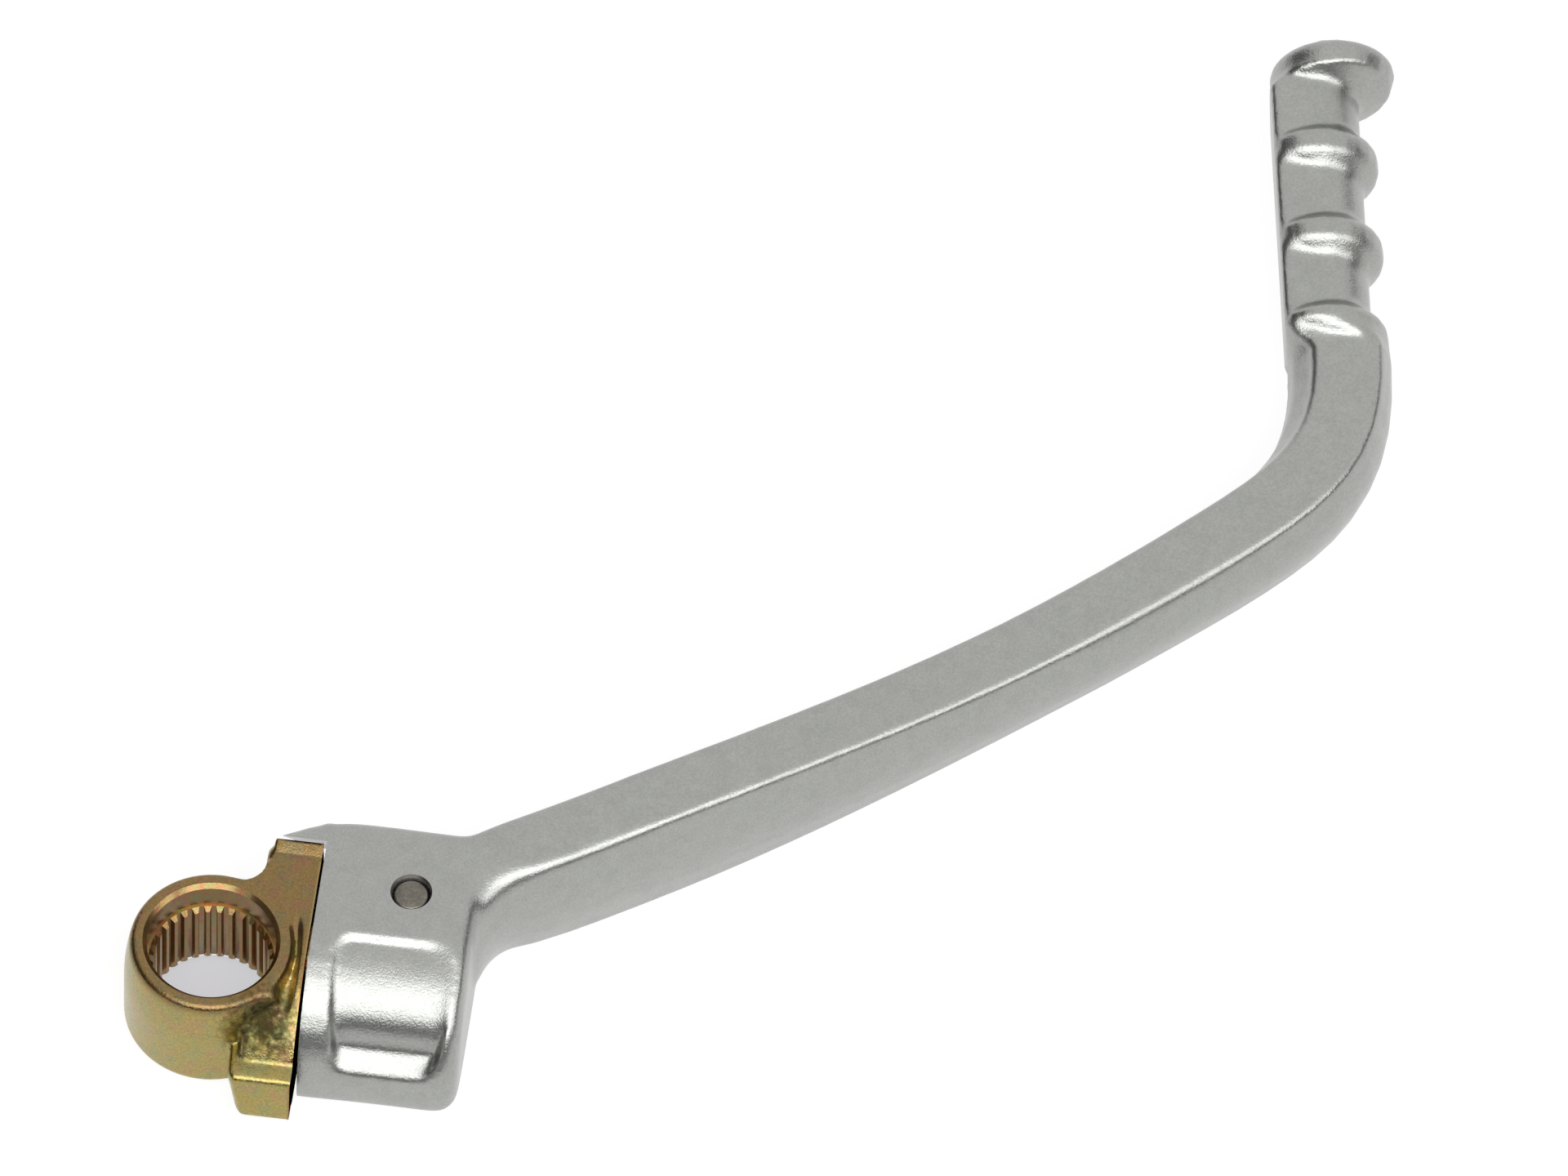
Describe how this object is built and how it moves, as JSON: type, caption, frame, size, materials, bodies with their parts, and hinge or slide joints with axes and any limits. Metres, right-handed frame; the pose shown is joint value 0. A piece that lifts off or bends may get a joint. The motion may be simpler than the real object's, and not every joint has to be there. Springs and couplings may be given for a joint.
{
  "type": "kick start lever",
  "caption": "Folding kick start lever: a splined steel knuckle, and a curved aluminium lever with a ribbed foot peg that swings on the knuckle's stem.",
  "frame": {"origin": "on the axis of the splined bore, at the height of the stem that the lever swings on", "axes": "+Z along the splined bore, out of its recessed end; +X along the stem that the lever swings on, from the hub to the lever; the folded lever reaches towards +Y"},
  "size_m": [0.1995, 0.2343, 0.024],
  "materials": {
    "knuckle": "forged steel with yellow zinc plating",
    "lever": "forged and shot blasted, satin",
    "pin": "ground, bare",
    "ball": "polished bearing steel",
    "spring": "bare spring steel",
    "seal": "black rubber"
  },
  "bodies": {
    "knuckle": {"knuckle": "knuckle", "stem_seal": "seal"},
    "lever": {"lever": "lever", "retaining_pin": "pin", "detent_spring": "spring"},
    "ball": {"detent_ball": "ball"}
  },
  "joints": [
    {"name": "fold", "type": "hinge", "parent": "knuckle", "child": "lever", "pos_m": [0.0257, 0.0045, 0], "axis": [1, 0, 0], "range_deg": [0, 90]},
    {"name": "detent", "type": "slide", "parent": "lever", "child": "ball", "axis": [-1, 0, 0], "range_m": [0, 0.0005], "stiffness_N_per_m": 3000, "springref_m": 0.003}
  ]
}
